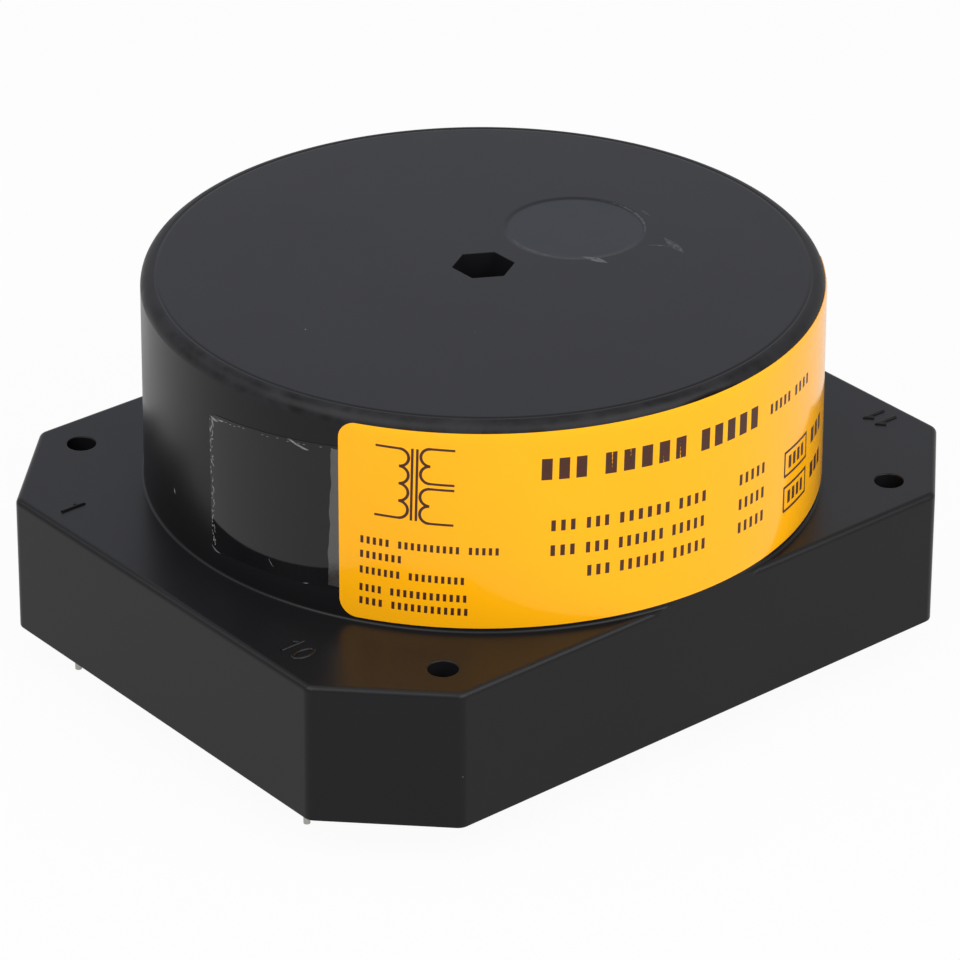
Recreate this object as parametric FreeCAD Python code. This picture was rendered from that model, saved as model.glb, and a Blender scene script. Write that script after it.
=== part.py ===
import FreeCAD, Part
import math
import os

# A toroidal mains transformer for a circuit board, potted in a moulded housing.
#
# The housing is one moulding: a round drum that holds the wound ring, on a low
# skirt with four cut corners. It is open underneath, filled with casting resin,
# and stands on the board on its rim. Six pins come out below two rails.
#
# Frame: millimetres. The origin is on the drum's axis in the plane of the board.
# +Z points up, out of the drum's top. X runs across the two rows of pins.
# Pins 1 to 10 are on the -X side and pins 11 to 20 are on the +X side.

# Driving dimensions of the housing
BASE_LENGTH = 120.6         # along X at the rim
BASE_WIDTH = 99.8           # along Y at the rim
CORNER_CUT = 15.2           # leg of the 45 degree corners at the rim
SKIRT_HEIGHT = 21.4
DRUM_DIAMETER = 100.2       # at the foot; the flanks are flush with the skirt's long sides
DRUM_HEIGHT = 32.5
DRAFT_DEG = 0.6             # taper that lets the moulding leave its tool
WALL = 2.0
DRUM_WALL = 2.2             # at its thinnest, by the ceiling
DRUM_TOP_RADIUS = 2.0       # rounding round the top
DRUM_FOOT_RADIUS = 0.4      # hollow rounding where the drum meets the skirt
TOP_STEPS = 3               # narrow cones that make up each of those two roundings
FOOT_STEPS = 2
SKIRT_CORNER_RADIUS = 2.0   # upright corners
SKIRT_EDGE_RADIUS = 0.9     # rounding along the skirt's top edge

# Fixings
SCREW_SPACING_X = 85.0
SCREW_SPACING_Y = 85.0
SCREW_HOLE_DIAMETER = 4.3
SCREW_POST_RADIUS = 5.7
CENTRE_BORE_DIAMETER = 5.5  # clearance for an M5 screw
CENTRE_TUBE_RADIUS = 7.0
NUT_POCKET_FLATS = 8.0      # holds an M5 nut
NUT_POCKET_DEPTH = 12.0

# Round gate mark moulded into the top
GATE_MARK_CENTRE = (18.4, 1.0)
GATE_MARK_RADIUS = 10.25
GATE_MARK_DEPTH = 0.3

# Pins: ten places a side, of which six are fitted
PIN_ROW_X = 55.0
PIN_SPAN = 55.0             # from the first place of a row to its last
PIN_PLACES = 10
PINS_FITTED = (1, 10, 11, 12, 19, 20)
PIN_DIAMETER = 1.0          # of the end that goes through the board
PIN_SHANK_FLATS = 1.1       # of the six-sided shank that keeps the pin from turning in its rail
PIN_BELOW_RIM = 6.0
PIN_SHANK_BOTTOM = 0.3      # the shank stands a little out of the rail
PIN_TOP = 5.4
RAIL_INNER_X = 52.0
RAIL_HALF_LENGTH = 31.0
RAIL_BOTTOM = 0.6
RAIL_TOP = 4.6

# The wound ring, from the inside outwards: every layer gives what it adds
CORE_INNER_RADIUS = 22.0
CORE_OUTER_RADIUS = 39.0
CORE_HEIGHT = 34.0
CORE_TAPE = 0.8
PRIMARY_INSIDE = 3.0        # the turns crowd together in the eye of the ring
PRIMARY_OUTSIDE = 1.6
PRIMARY_ENDS = 2.2
WINDING_TAPE = 0.8
STRAND = 1.25               # side of a secondary's strand
STRAND_GAP = 0.1            # varnish between a strand and the tapes
OUTER_TAPE = 0.6
RING_TO_CEILING = 0.7
RING_FLATS = 30             # the tapes lie flat from strand to strand, not round

# Secondary windings: each covers one half of the ring
TURNS_PER_SECONDARY = 28
TURN_PITCH_DEG = 6.0

RESIN_LEVEL = 1.2           # the resin's open surface, above the rim

# Leads from the ring to the pins
LEAD_RADIUS = 0.7
LEAD_LEVEL = 11.0
LEAD_REACH = 18.0           # far enough in from the pins to meet the ring

# Rating label and clear film, stuck on the drum's wall
FILM = 0.12
LABEL_HEIGHT = 30.3
LABEL_LENGTH = 107.0
LABEL_LEFT_DEG = -153.1
LABEL_BOTTOM = 0.45         # its left corner, above the skirt's top
LABEL_CORNER_RADIUS = 3.2
LABEL_TILT_DEG = 0.8        # it was stuck on slightly askew
CLEAR_HEIGHT = 23.1
CLEAR_LENGTH = 26.0
CLEAR_LEFT_DEG = -181.0
CLEAR_BOTTOM = 2.0
CLEAR_CORNER_RADIUS = 3.0
CLEAR_TILT_DEG = 3.6

# Sizes that follow from the driving ones
DRAFT = math.tan(math.radians(DRAFT_DEG))
TOP = SKIRT_HEIGHT + DRUM_HEIGHT
DRUM_RADIUS = DRUM_DIAMETER / 2
CEILING = TOP - WALL
SKIRT_CEILING = SKIRT_HEIGHT - WALL
PIN_PITCH = PIN_SPAN / (PIN_PLACES - 1)
SAFE = 1.0                  # how far a cutting tool reaches past the face that it cuts

Z_UP = FreeCAD.Vector(0, 0, 1)
ORIGIN = FreeCAD.Vector(0, 0, 0)


def point(x, y, z=0.0):
    """A point from its three coordinates."""
    return FreeCAD.Vector(x, y, z)


def cylinder(radius, low, high, x=0.0, y=0.0):
    """An upright cylinder between two levels."""
    return Part.makeCylinder(radius, high - low, point(x, y, low), Z_UP)


def flat_face(corners):
    """A flat face through three or more points."""
    return Part.Face(Part.makePolygon(corners + corners[:1]))


def without(body, tools):
    """The one solid that is left of a body when every tool has been cut away."""
    for tool in tools:
        body = body.cut(tool).Solids[0]
    return body


def prism_corners(radius, sides, level):
    """The corners of a regular outline whose flats touch a circle, on the X axis and round."""
    reach = radius / math.cos(math.pi / sides)
    corners = []
    for index in range(sides):
        turn = 2 * math.pi * index / sides
        corners.append(point(reach * math.cos(turn), reach * math.sin(turn), level))
    return corners


def drum_of_flats(radius, low, high):
    """An upright prism with the wound ring's flats."""
    return flat_face(prism_corners(radius, RING_FLATS, low)).extrude(point(0, 0, high - low))


def tapered_box(half_x, half_y, low, high):
    """A box centred on Z whose four sides lean in by the draft; the half sizes are at level 0."""
    low_x, low_y = half_x - low * DRAFT, half_y - low * DRAFT
    high_x, high_y = half_x - high * DRAFT, half_y - high * DRAFT
    box = Part.makeWedge(-low_x, low, -low_y, -high_y, -high_x, low_x, high, low_y, high_y, high_x)
    box.rotate(ORIGIN, point(1, 0, 0), 90)
    return box


def skirt_block(inset, low, high):
    """The skirt's tapered block with its four cut corners, moved in by inset."""
    half_x = BASE_LENGTH / 2 - inset
    half_y = BASE_WIDTH / 2 - inset
    to_cut = (BASE_LENGTH / 2 + BASE_WIDTH / 2 - CORNER_CUT) / math.sqrt(2) - inset
    corners = tapered_box(to_cut, to_cut, low, high)
    corners.rotate(ORIGIN, Z_UP, 45)
    return tapered_box(half_x, half_y, low, high).common(corners)


def upright_edges(shape):
    """The edges of a block that run from its bottom to its top."""
    box = shape.BoundBox
    return [edge for edge in shape.Edges if edge.BoundBox.ZLength > 0.9 * box.ZLength]


def edges_at(shape, level):
    """The edges of a shape that lie wholly at one level."""
    found = []
    for edge in shape.Edges:
        middle = edge.valueAt((edge.FirstParameter + edge.LastParameter) / 2)
        heights = [vertex.Z for vertex in edge.Vertexes] + [middle.z]
        if all(abs(height - level) < 1e-4 for height in heights):
            found.append(edge)
    return found


def rounded_skirt():
    """The skirt's outside: the tapered block with its corners and top edge rounded."""
    block = skirt_block(0.0, 0.0, SKIRT_HEIGHT)
    block = block.makeFillet(SKIRT_CORNER_RADIUS, upright_edges(block))
    return block.makeFillet(SKIRT_EDGE_RADIUS, edges_at(block, SKIRT_HEIGHT))


def revolved(outline):
    """A solid of revolution about Z from a list of (radius, level) corners."""
    corners = [point(radius, 0, level) for radius, level in outline + outline[:1]]
    return Part.Face(Part.makePolygon(corners)).revolve(ORIGIN, Z_UP, 360)


def drum_radius_at(level):
    """The drum's outside radius at one level, with its taper."""
    return DRUM_RADIUS - (level - SKIRT_HEIGHT) * DRAFT


def quarter(centre, radius, from_deg, steps):
    """Corners along a quarter of a circle, clockwise or not by the sign of steps."""
    corners = []
    for index in range(abs(steps) + 1):
        turn = math.radians(from_deg + 90 * index / steps)
        corners.append((centre[0] + radius * math.cos(turn), centre[1] + radius * math.sin(turn)))
    return corners


def rounded_drum():
    """The drum's outside, revolved, with a rounded top and a hollow rounding at its foot."""
    low = SKIRT_HEIGHT - SKIRT_EDGE_RADIUS
    foot_level = SKIRT_HEIGHT + DRUM_FOOT_RADIUS
    foot_centre = (drum_radius_at(foot_level) + DRUM_FOOT_RADIUS, foot_level)
    top_level = TOP - DRUM_TOP_RADIUS
    top_centre = (drum_radius_at(top_level) - DRUM_TOP_RADIUS, top_level)
    outline = [(0, low), (foot_centre[0], low)]
    outline += quarter(foot_centre, DRUM_FOOT_RADIUS, -90, -FOOT_STEPS)
    outline += quarter(top_centre, DRUM_TOP_RADIUS, 0, TOP_STEPS)
    outline.append((0, TOP))
    return revolved(outline)


def drum_space():
    """The space inside the drum, with a chamfer where the wall meets the ceiling."""
    low = SKIRT_CEILING - SAFE
    radius = drum_radius_at(CEILING) - DRUM_WALL
    return revolved([
        (0, low),
        (radius, low),
        (radius, CEILING - WALL),
        (radius - WALL, CEILING),
        (0, CEILING),
    ])


def screw_places():
    """The four corner screws' places in plan."""
    places = []
    for sign_x in (-1, 1):
        for sign_y in (-1, 1):
            places.append((sign_x * SCREW_SPACING_X / 2, sign_y * SCREW_SPACING_Y / 2))
    return places


def pin_place(number):
    """Where a numbered pin stands in plan: 1 to 10 down the -X side, 11 to 20 back up."""
    if number <= PIN_PLACES:
        return -PIN_ROW_X, PIN_SPAN / 2 - (number - 1) * PIN_PITCH
    return PIN_ROW_X, -PIN_SPAN / 2 + (number - PIN_PLACES - 1) * PIN_PITCH


def pin_shank(number, low, high):
    """The six-sided stretch of a pin, between two levels."""
    face = flat_face(prism_corners(PIN_SHANK_FLATS / 2, 6, low))
    face.translate(point(*pin_place(number)))
    return face.extrude(point(0, 0, high - low))


def inner_posts():
    """What stands inside the housing: four screw posts, the centre tube and two pin rails."""
    parts = [cylinder(SCREW_POST_RADIUS, 0.0, SKIRT_CEILING, x, y) for x, y in screw_places()]
    parts.append(cylinder(CENTRE_TUBE_RADIUS, 0.0, CEILING))
    rail_outer_x = BASE_LENGTH / 2 - WALL
    for side in (-1, 1):
        low_x = min(side * RAIL_INNER_X, side * rail_outer_x)
        corner = point(low_x, -RAIL_HALF_LENGTH, RAIL_BOTTOM)
        size = (rail_outer_x - RAIL_INNER_X, 2 * RAIL_HALF_LENGTH, RAIL_TOP - RAIL_BOTTOM)
        parts.append(Part.makeBox(*size, corner))
    return parts


def housing_space():
    """Everything inside the walls: the space that is left for the ring and the resin."""
    space = skirt_block(WALL, -SAFE, SKIRT_CEILING).fuse(drum_space())
    return without(space, inner_posts())


def nut_pocket():
    """The six-sided pocket for a nut, with two of its flats facing along X."""
    face = flat_face(prism_corners(NUT_POCKET_FLATS / 2, 6, TOP - NUT_POCKET_DEPTH))
    face.rotate(ORIGIN, Z_UP, 30)
    return face.extrude(point(0, 0, NUT_POCKET_DEPTH + SAFE))


def housing():
    """The moulding: its outside, less its inside, its holes and its gate mark."""
    flush_sides = skirt_block(0.0, 0.0, TOP + SAFE)
    outside = rounded_skirt().fuse(rounded_drum().common(flush_sides))
    hole_radius = SCREW_HOLE_DIAMETER / 2
    cuts = [housing_space(), nut_pocket(), cylinder(CENTRE_BORE_DIAMETER / 2, -SAFE, TOP + SAFE)]
    for x, y in screw_places():
        cuts.append(cylinder(hole_radius, -SAFE, TOP, x, y))
    cuts += [pin_shank(number, -SAFE, RAIL_TOP + SAFE) for number in PINS_FITTED]
    cuts.append(cylinder(GATE_MARK_RADIUS, TOP - GATE_MARK_DEPTH, TOP + SAFE, *GATE_MARK_CENTRE))
    return without(outside, cuts).removeSplitter()


class Layer:
    """One layer of the wound ring, as the ring-shaped outline that it reaches."""

    def __init__(self, inner, outer, half_height):
        self.inner = inner
        self.outer = outer
        self.half_height = half_height

    def grown(self, inside, outside=None, ends=None):
        """The next layer out, thicker by these amounts."""
        outside = inside if outside is None else outside
        ends = inside if ends is None else ends
        return Layer(self.inner - inside, self.outer + outside, self.half_height + ends)

    def solid(self, middle):
        """This outline as a ring of flats, centred at one level."""
        low = middle - self.half_height
        high = middle + self.half_height
        return drum_of_flats(self.outer, low, high).cut(drum_of_flats(self.inner, low, high))


def ring_layers():
    """The wound ring's outlines by name, from the core to the outer tape."""
    core = Layer(CORE_INNER_RADIUS, CORE_OUTER_RADIUS, CORE_HEIGHT / 2)
    core_tape = core.grown(CORE_TAPE)
    primary = core_tape.grown(PRIMARY_INSIDE, PRIMARY_OUTSIDE, PRIMARY_ENDS)
    winding_tape = primary.grown(WINDING_TAPE)
    strand_line = winding_tape.grown(STRAND_GAP + STRAND / 2)
    strand_space = strand_line.grown(STRAND / 2 + STRAND_GAP)
    outer_tape = strand_space.grown(OUTER_TAPE)
    return {
        "core": core,
        "core_tape": core_tape,
        "primary": primary,
        "winding_tape": winding_tape,
        "strand_line": strand_line,
        "strand_space": strand_space,
        "outer_tape": outer_tape,
    }


def strand_corner(radius, level, lean_r, lean_z, angle):
    """The four corners of a strand's mitred section at one bend of its path."""
    cosine = math.cos(angle)
    sine = math.sin(angle)
    half = STRAND / 2
    corners = []
    for across, along in ((-1, -1), (1, -1), (1, 1), (-1, 1)):
        r = radius + along * half * lean_r
        z = level + along * half * lean_z
        corners.append(point(r * cosine - across * half * sine,
                             r * sine + across * half * cosine, z))
    return corners


def wire_coil(line, middle, start_deg):
    """A strand wound round the ring: up the eye, out, down the outside and back below.

    Each turn has four bends. The strand steps on to the next turn along its run
    below the ring, so the sides of that run are twisted and are made of triangles.
    """
    low = middle - line.half_height
    high = middle + line.half_height
    sections = []
    for turn in range(TURNS_PER_SECONDARY):
        angle = math.radians(start_deg + turn * TURN_PITCH_DEG)
        sections.append(strand_corner(line.inner, low, -1, -1, angle))
        sections.append(strand_corner(line.inner, high, -1, 1, angle))
        sections.append(strand_corner(line.outer, high, 1, 1, angle))
        sections.append(strand_corner(line.outer, low, 1, -1, angle))
    faces = [flat_face(sections[0]), flat_face(sections[-1])]
    for index in range(len(sections) - 1):
        first = sections[index]
        second = sections[index + 1]
        steps_on = index % 4 == 3
        for side in range(4):
            after = (side + 1) % 4
            if steps_on:
                faces.append(flat_face([first[side], first[after], second[after]]))
                faces.append(flat_face([first[side], second[after], second[side]]))
            else:
                faces.append(flat_face([first[side], first[after], second[after], second[side]]))
    shell = Part.Shell(faces)
    shell.sewShape()
    solid = Part.Solid(Part.Shell(shell.Faces))
    if solid.Volume < 0:
        solid.reverse()
    return solid


def pin(number):
    """A round pin with a six-sided shank, which is pressed into the rail."""
    free_end = cylinder(PIN_DIAMETER / 2, -PIN_BELOW_RIM, PIN_SHANK_BOTTOM, *pin_place(number))
    return free_end.fuse(pin_shank(number, PIN_SHANK_BOTTOM, PIN_TOP)).Solids[0]


def lead_direction(number):
    """The unit vector in plan from the drum's axis to a pin, and the pin's distance."""
    x, y = pin_place(number)
    distance = math.hypot(x, y)
    return point(x / distance, y / distance), distance


def lead(number, ring):
    """A lead: out from the ring and, round a mitred bend, down on to the top of its pin.

    It is drawn six-sided, because it is buried in the resin.
    """
    outwards, distance = lead_direction(number)
    start = outwards * (distance - LEAD_REACH) + Z_UP * LEAD_LEVEL
    bend = outwards * distance + Z_UP * LEAD_LEVEL
    end = outwards * distance + Z_UP * PIN_TOP
    section = flat_face(prism_corners(LEAD_RADIUS, 6, 0.0)).OuterWire
    section.rotate(ORIGIN, point(0, 1, 0), 90)
    section.rotate(ORIGIN, Z_UP, math.degrees(math.atan2(outwards.y, outwards.x)))
    section.translate(start)
    right_corner = 1
    path = Part.makePolygon([start, bend, end])
    return without(path.makePipeShell([section], True, False, right_corner), [ring])


def wall_face():
    """The drum's tapered wall as one bare face, from below the skirt's top to above the drum's."""
    low = SKIRT_HEIGHT - SAFE
    height = DRUM_HEIGHT + 2 * SAFE
    wall = Part.makeCone(drum_radius_at(low), drum_radius_at(low + height), height,
                         point(0, 0, low), Z_UP)
    return max(wall.Faces, key=lambda face: face.Area)


def sticker(left_deg, bottom, length, height, corner_radius, tilt_deg):
    """A film with rounded corners, laid on the drum's wall and tilted a little.

    Its outline is drawn on the unrolled wall, as a turn about the axis and a distance
    up the wall. It parts the film's face from the rest of the wall, and the film is
    that face made thicker.
    """
    wall = wall_face()
    tilt = math.radians(tilt_deg)

    def on_wall(across, up):
        turned_across = across * math.cos(tilt) - up * math.sin(tilt)
        turned_up = across * math.sin(tilt) + up * math.cos(tilt)
        turn = math.radians(left_deg + 360) + turned_across / DRUM_RADIUS
        return FreeCAD.Base.Vector2d(turn, SAFE + bottom + turned_up)

    def side(start, end):
        line = Part.Geom2d.Line2dSegment(on_wall(*start), on_wall(*end))
        return line.toShape(wall.Surface)

    def corner(across, up, from_deg):
        places = []
        for index in range(5):
            turn = math.radians(from_deg + 90 * index / 4)
            places.append(on_wall(across + corner_radius * math.cos(turn),
                                  up + corner_radius * math.sin(turn)))
        curve = Part.Geom2d.BSplineCurve2d()
        curve.interpolate(places)
        return curve.toShape(wall.Surface)

    near = corner_radius
    far = length - corner_radius
    high = height - corner_radius
    outline = Part.Wire([
        side((near, 0), (far, 0)),
        corner(far, near, -90),
        side((length, near), (length, high)),
        corner(far, high, 0),
        side((far, height), (near, height)),
        corner(near, high, 90),
        side((0, high), (0, near)),
        corner(near, near, 180),
    ])
    parted, _ = wall.generalFuse([outline])
    face = min(parted.Faces, key=lambda part: part.Area)
    return face.makeOffsetShape(FILM, 0.001, fill=True)


def save(name, shape):
    """Write one piece to its file and say how large it is."""
    if not shape.isValid():
        print("not valid:", name)
    shape.exportStep("parts/" + name + ".step")
    box = shape.BoundBox
    size = (box.XLength, box.YLength, box.ZLength)
    print(name, len(shape.Solids), "solid(s)", [round(value, 2) for value in size],
          round(shape.Volume / 1000, 2), "cm3")


def main():
    os.makedirs("parts", exist_ok=True)
    layers = ring_layers()
    outer = layers["outer_tape"]
    middle = CEILING - RING_TO_CEILING - outer.half_height

    def wrapped(outside, inside):
        """A layer of the wound ring: its outline, less the layer that it is wrapped on."""
        return without(layers[outside].solid(middle), [layers[inside].solid(middle)])

    save("housing", housing())
    save("toroid_core", layers["core"].solid(middle))
    save("core_insulation", wrapped("core_tape", "core"))
    save("primary_winding", wrapped("primary", "core_tape"))
    save("winding_insulation", wrapped("winding_tape", "primary"))
    span_deg = (TURNS_PER_SECONDARY - 1) * TURN_PITCH_DEG
    for name, centre_deg in (("secondary_winding_a", 0), ("secondary_winding_b", 180)):
        save(name, wire_coil(layers["strand_line"], middle, centre_deg - span_deg / 2))
    save("outer_insulation", wrapped("outer_tape", "strand_space"))

    embedded = [outer.solid(middle)]
    for number in PINS_FITTED:
        post = pin(number)
        wire = lead(number, outer.solid(middle))
        save("pin_%d" % number, post)
        save("lead_%d" % number, wire)
        embedded.extend([post, wire])
    below_surface = cylinder(BASE_LENGTH, -BASE_LENGTH, RESIN_LEVEL)
    save("potting_resin", without(housing_space(), [below_surface] + embedded))

    label = sticker(LABEL_LEFT_DEG, LABEL_BOTTOM, LABEL_LENGTH, LABEL_HEIGHT,
                    LABEL_CORNER_RADIUS, LABEL_TILT_DEG)
    clear = sticker(CLEAR_LEFT_DEG, CLEAR_BOTTOM, CLEAR_LENGTH, CLEAR_HEIGHT,
                    CLEAR_CORNER_RADIUS, CLEAR_TILT_DEG)
    save("rating_label", label)
    save("clear_film", without(clear, [label]))


main()
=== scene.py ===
# %% [markdown]
# # A potted toroidal transformer for a circuit board
#
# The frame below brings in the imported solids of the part: a moulded housing, the
# wound ring inside it, six pins, a wrapped label and a strip of clear film. What
# shows is the housing, the two films, the pins and, underneath, the casting resin.
# The solids give the places and sizes, and this file gives the look.

import math

import bmesh
import bpy
import numpy as np
from mathutils import Matrix


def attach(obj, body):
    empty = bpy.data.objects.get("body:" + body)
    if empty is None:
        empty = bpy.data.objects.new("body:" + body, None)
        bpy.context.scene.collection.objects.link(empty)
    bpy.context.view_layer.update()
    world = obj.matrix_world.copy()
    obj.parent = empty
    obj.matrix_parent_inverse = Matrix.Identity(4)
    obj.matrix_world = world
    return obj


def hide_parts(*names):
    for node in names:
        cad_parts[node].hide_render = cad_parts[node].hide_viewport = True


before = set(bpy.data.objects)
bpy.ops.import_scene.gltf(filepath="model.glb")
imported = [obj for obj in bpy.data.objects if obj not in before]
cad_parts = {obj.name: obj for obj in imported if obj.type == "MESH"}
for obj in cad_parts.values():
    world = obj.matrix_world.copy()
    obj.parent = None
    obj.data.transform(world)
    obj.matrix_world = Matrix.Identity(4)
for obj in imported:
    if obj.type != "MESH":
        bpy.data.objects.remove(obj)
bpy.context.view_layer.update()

# %% [markdown]
# All sizes are written in millimetres, as a maker would, and turned to metres only
# where a mesh is made. They repeat the solids' driving sizes, because the pieces
# made here stand where the solids stand. They could be measured on the frame's
# meshes instead, but a named value says what a size is and where to change it.

# %% Sizes
MM = 0.001
BASE_HALF_X, BASE_HALF_Y = 60.3, 49.9
CORNER_CUT = 15.2
SKIRT_HEIGHT = 21.4
TOP = 53.9
DRUM_RADIUS = 50.1
DRAFT = math.tan(math.radians(0.6))
WALL = 2.0
CORNER_RADIUS, EDGE_RADIUS = 2.0, 0.9
TOP_RADIUS, FOOT_RADIUS = 2.0, 0.4
SCREW_PLACES = [(x, y) for x in (-42.5, 42.5) for y in (-42.5, 42.5)]
HOLE_RADIUS, POST_RADIUS = 2.15, 5.7
BORE_RADIUS, TUBE_RADIUS = 2.75, 7.0
HEX_HALF_FLATS = 4.0
POCKET_FLOOR = TOP - 12.0
GATE_CENTRE, GATE_RADIUS, GATE_DEPTH = (18.4, 1.0), 10.25, 0.12
SKIRT_CEILING = SKIRT_HEIGHT - WALL
SUPPORT = 0.1       # a row this near a rounding keeps the shading of the flat beside it even
RIM_LIFT = 0.02     # the tube, the bore and the posts end this little above the skirt's rim
LIP, SMALL_LIP = 0.2, 0.15      # rounded lips at the ends of holes, tube and posts
print("drum", 2 * DRUM_RADIUS, "base", 2 * BASE_HALF_X, "x", 2 * BASE_HALF_Y, "height", TOP)


def drum_radius_at(level):
    """The drum's radius at a level: the radius at its foot less the rise times the draft."""
    return DRUM_RADIUS - (level - SKIRT_HEIGHT) * DRAFT


# %% [markdown]
# ## Camera
#
# The photograph looks down on the front corner from about 29 degrees, through a
# long lens. A camera could be placed by eye, but then no edge of the render would
# lie on the photograph's. So the place, the turn and the lens were solved from the
# outlines of the drum and the skirt.

# %% Camera
CAMERA_PLACE = np.array([-410.87, -491.26, 367.27])
CAMERA_TARGET = np.array([-0.956, -0.560, 18.92])
CAMERA_ROLL = math.radians(0.2015)
LENS_MM, SENSOR_MM = 184.07, 36.0

looking = CAMERA_TARGET - CAMERA_PLACE
looking /= np.linalg.norm(looking)
level_right = np.cross(looking, [0, 0, 1])
level_right /= np.linalg.norm(level_right)
level_up = np.cross(level_right, looking)
right = math.cos(CAMERA_ROLL) * level_right + math.sin(CAMERA_ROLL) * level_up
up = -math.sin(CAMERA_ROLL) * level_right + math.cos(CAMERA_ROLL) * level_up

camera_data = bpy.data.cameras.new("camera")
camera_data.lens = LENS_MM
camera_data.sensor_width = SENSOR_MM
camera_data.clip_start = 0.01
camera = bpy.data.objects.new("camera", camera_data)
bpy.context.scene.collection.objects.link(camera)
axes = Matrix(np.column_stack([right, up, -looking]).tolist())
camera.matrix_world = Matrix.Translation(CAMERA_PLACE * MM) @ axes.to_4x4()
bpy.context.scene.camera = camera
print("camera at mm", CAMERA_PLACE)

# %% [markdown]
# ## How the surfaces are made
#
# Cylinders, bevels and booleans could make these shapes too, but a boolean leaves
# long thin faces, and a satin gloss shows every one of them. So each new piece is
# worked out with numpy as grids of points, each a function of two parameters. A
# `Build` gathers such grids and flat areas, and joins their shared edges at the
# end, so that each skin is closed.

# %% A mesh from patches
JOIN_WITHIN, NO_LENGTH = 1.5e-6, 1e-7       # metres: points so near are one, edges so short go


class Build:
    """Gathers patches in millimetres and makes them one mesh."""

    def __init__(self, name):
        self.name = name
        self.points = []
        self.faces = []
        self.smooth = []
        self.count = 0

    def add(self, points, faces, smooth=True):
        """Adds points (n x 3) and faces that index them."""
        self.points.append(np.asarray(points, float))
        self.faces.extend([[corner + self.count for corner in face] for face in faces])
        self.smooth.extend([smooth] * len(faces))
        self.count += len(points)

    def grid(self, points, wrap=False):
        """Adds a rows x columns x 3 grid: a face joins (i, j), (i, j+1), (i+1, j+1), (i+1, j)."""
        rows, columns = points.shape[:2]
        index = np.arange(rows * columns).reshape(rows, columns)
        if wrap:
            index = np.concatenate([index, index[:, :1]], axis=1)
        quads = np.stack([index[:-1, :-1], index[:-1, 1:], index[1:, 1:], index[1:, :-1]], axis=-1)
        self.add(points.reshape(-1, 3), quads.reshape(-1, 4).tolist())

    def flat(self, loops, level):
        """Adds the flat area that lies between closed plan loops, one inside another."""
        mesh = bmesh.new()
        edges = []
        for loop in loops:
            made = [mesh.verts.new((x, y, level)) for x, y in loop]
            edges += [mesh.edges.new((made[i - 1], made[i])) for i in range(len(made))]
        bmesh.ops.triangle_fill(mesh, use_beauty=True, edges=edges, normal=(0, 0, 1))
        mesh.verts.index_update()
        self.add([v.co[:] for v in mesh.verts], [[v.index for v in f.verts] for f in mesh.faces],
                 smooth=False)
        mesh.free()

    def finish(self, sharp_deg=38.0, off_axis=False):
        """Joins the patches, turns the faces outwards and shades all but the flat areas smooth.

        Open patches on the drum's wall have no inside to tell their two sides apart, so with
        off_axis each face whose normal points at the axis (n.p below 0 in plan) is turned over.
        """
        mesh = bpy.data.meshes.new(self.name)
        mesh.from_pydata((np.concatenate(self.points) * MM).tolist(), [], self.faces)
        mesh.polygons.foreach_set("use_smooth", self.smooth)
        work = bmesh.new()
        work.from_mesh(mesh)
        bmesh.ops.remove_doubles(work, verts=work.verts, dist=JOIN_WITHIN)
        bmesh.ops.dissolve_degenerate(work, dist=NO_LENGTH, edges=work.edges)
        bmesh.ops.recalc_face_normals(work, faces=work.faces)
        if off_axis:
            inward = [face for face in work.faces
                      if face.normal.xy.dot(face.calc_center_median().xy) < 0]
            bmesh.ops.reverse_faces(work, faces=inward)
            print(self.name, "faces turned over", len(inward))
        open_edges = sum(1 for edge in work.edges if len(edge.link_faces) != 2)
        work.to_mesh(mesh)
        work.free()
        # The sharp edges are marked last, and that step shades every face smooth, so the flat
        # areas' own setting is kept and put back.
        smooth = np.zeros(len(mesh.polygons), bool)
        mesh.polygons.foreach_get("use_smooth", smooth)
        mesh.set_sharp_from_angle(angle=math.radians(sharp_deg))
        mesh.polygons.foreach_set("use_smooth", smooth)
        piece = bpy.data.objects.new(self.name, mesh)
        bpy.context.scene.collection.objects.link(piece)
        print(self.name, "faces", len(mesh.polygons), "open edges", open_edges)
        return piece


print("points nearer than", JOIN_WITHIN / MM, "mm are joined")

# %% Circles, outlines one above another, and lips
LIP_ROWS = 5


def circle(radius, steps, centre=(0.0, 0.0)):
    """Points round a circle: centre + radius * (cos a, sin a) for evenly spaced a."""
    angle = np.linspace(0, 2 * np.pi, steps, endpoint=False)
    return np.stack([centre[0] + radius * np.cos(angle), centre[1] + radius * np.sin(angle)], -1)


def stacked(loops, levels):
    """A grid from plan loops of equal length, each at its level."""
    return np.stack([np.column_stack([loop, np.full(len(loop), level)])
                     for loop, level in zip(loops, levels)])


def turned(rows, steps, centre=(0.0, 0.0)):
    """A surface of revolution: each (radius, level) of the rows becomes a circle."""
    return stacked([circle(radius, steps, centre) for radius, _ in rows], [z for _, z in rows])


def lip(edge, radius, level, size, outwards):
    """A quarter-round from a flat area at a level down into a wall, as (radius, level) rows.

    outwards is +1 where the solid lies outside the wall, as round a hole, and edge is +1 for
    an upper end and -1 for a lower one.
    """
    angle = np.radians(np.linspace(0, 90, LIP_ROWS))
    return [(radius + outwards * size * (1 - math.sin(a)), level - edge * size * (1 - math.cos(a)))
            for a in angle]


print("a lip of 0.2 mm", [(round(r, 2), round(z, 2)) for r, z in lip(1, 0.0, 0.0, LIP, 1)])

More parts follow.
